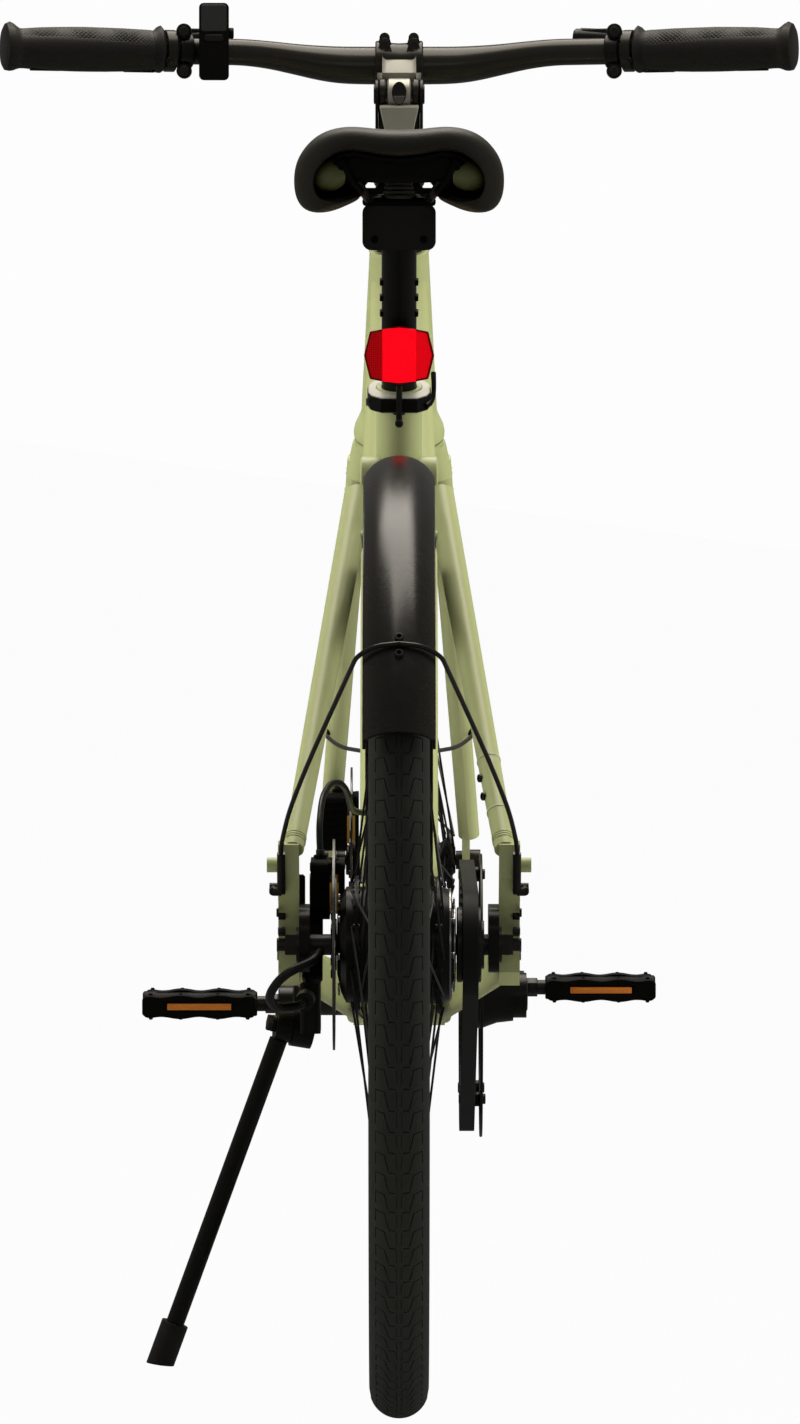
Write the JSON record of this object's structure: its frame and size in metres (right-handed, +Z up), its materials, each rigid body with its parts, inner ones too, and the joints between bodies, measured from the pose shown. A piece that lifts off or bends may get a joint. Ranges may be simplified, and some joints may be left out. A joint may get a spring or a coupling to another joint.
{
  "type": "electric bicycle",
  "caption": "Low-step electric bicycle with hub motor, belt drive, disc brakes and mudguards, parked leaning on its side stand.",
  "frame": {"origin": "on the floor, under the middle of the parked bicycle's bounding box", "axes": "+Y forward, +X to the bicycle's right, +Z up; the bicycle leans to its left onto the side stand"},
  "size_m": [0.6728, 1.8349, 1.1055],
  "materials": {
    "frame_paint": "satin",
    "black_metal": "satin",
    "steel": "satin",
    "rotor_steel": "brushed",
    "cog_steel": "satin",
    "battery_case": "matte",
    "saddle_skin": "matte",
    "black_plastic": "matte",
    "red_lens": "gloss",
    "mudguard_black": "satin",
    "hose_black": "satin",
    "belt_rubber": "matte",
    "grip_rubber": "matte",
    "tyre_rubber": "matte",
    "rim_black": "satin",
    "spoke_black": "satin"
  },
  "bodies": {
    "frame": {"main_frame": "frame_paint", "rear_triangle": "frame_paint", "rack_bosses": "frame_paint", "battery": "battery_case", "dropout_plates": "black_metal", "rear_axle": "steel", "seat_clamp": "black_metal", "seat_post": "black_metal", "saddle_cover": "saddle_skin", "saddle_shell": "black_plastic", "saddle_rails": "black_metal", "saddle_clamp": "black_metal", "rear_reflector": "red_lens", "rear_mudguard": "mudguard_black", "rear_mudguard_stay": "black_metal", "rear_brake_caliper": "black_metal", "rear_brake_hose": "hose_black", "motor_cable": "hose_black", "belt": "belt_rubber", "stand_bracket": "frame_paint"},
    "steering": {"fork": "frame_paint", "front_axle": "steel", "front_brake_caliper": "black_metal", "front_mudguard": "mudguard_black", "front_mudguard_stay": "black_metal", "headlight": "black_plastic", "headset_spacers": "black_metal", "stem": "black_metal", "handlebar": "black_metal", "grip_left": "grip_rubber", "grip_right": "grip_rubber", "brake_lever_left": "black_metal", "brake_lever_right": "black_metal", "display": "black_plastic"},
    "front_wheel": {"front_tyre": "tyre_rubber", "front_rim": "rim_black", "front_spokes": "spoke_black", "front_hub": "rim_black", "front_rotor": "rotor_steel"},
    "rear_wheel": {"rear_tyre": "tyre_rubber", "rear_rim": "rim_black", "rear_spokes": "spoke_black", "hub_motor": "rim_black", "rear_rotor": "rotor_steel", "rear_cog": "cog_steel"},
    "crank": {"crank_axle": "steel", "crank_left": "black_metal", "crank_right": "black_metal", "belt_ring": "black_metal"},
    "left_pedal": {"pedal_left": "black_plastic"},
    "right_pedal": {"pedal_right": "black_plastic"},
    "side_stand": {"stand_leg": "black_metal", "stand_foot": "grip_rubber"}
  },
  "joints": [
    {"name": "steering_turn", "type": "hinge", "parent": "frame", "child": "steering", "pos_m": [0.03364, 0.33881, 0.80052], "axis": [-0.1299, -0.3584, 0.9245], "range_deg": [-65, 65]},
    {"name": "front_wheel_spin", "type": "hinge", "parent": "steering", "child": "front_wheel", "pos_m": [0.09636, 0.56, 0.35424], "axis": [0.9903, 0, 0.1392], "continuous": true},
    {"name": "rear_wheel_spin", "type": "hinge", "parent": "frame", "child": "rear_wheel", "pos_m": [0.09636, -0.56, 0.35424], "axis": [0.9903, 0, 0.1392], "continuous": true},
    {"name": "crank_spin", "type": "hinge", "parent": "frame", "child": "crank", "pos_m": [0.10617, -0.101, 0.28443], "axis": [0.9903, 0, 0.1392], "continuous": true},
    {"name": "left_pedal_spin", "type": "hinge", "parent": "crank", "child": "left_pedal", "pos_m": [-0.04708, -0.27092, 0.26828], "axis": [0.9903, 0, 0.1392], "continuous": true},
    {"name": "right_pedal_spin", "type": "hinge", "parent": "crank", "child": "right_pedal", "pos_m": [0.26733, 0.06892, 0.30168], "axis": [0.9903, 0, 0.1392], "continuous": true},
    {"name": "side_stand_fold", "type": "hinge", "parent": "frame", "child": "side_stand", "pos_m": [0.01847, -0.44895, 0.27373], "axis": [-0.9887, -0.1461, 0.0342], "range_deg": [0, 92]}
  ]
}
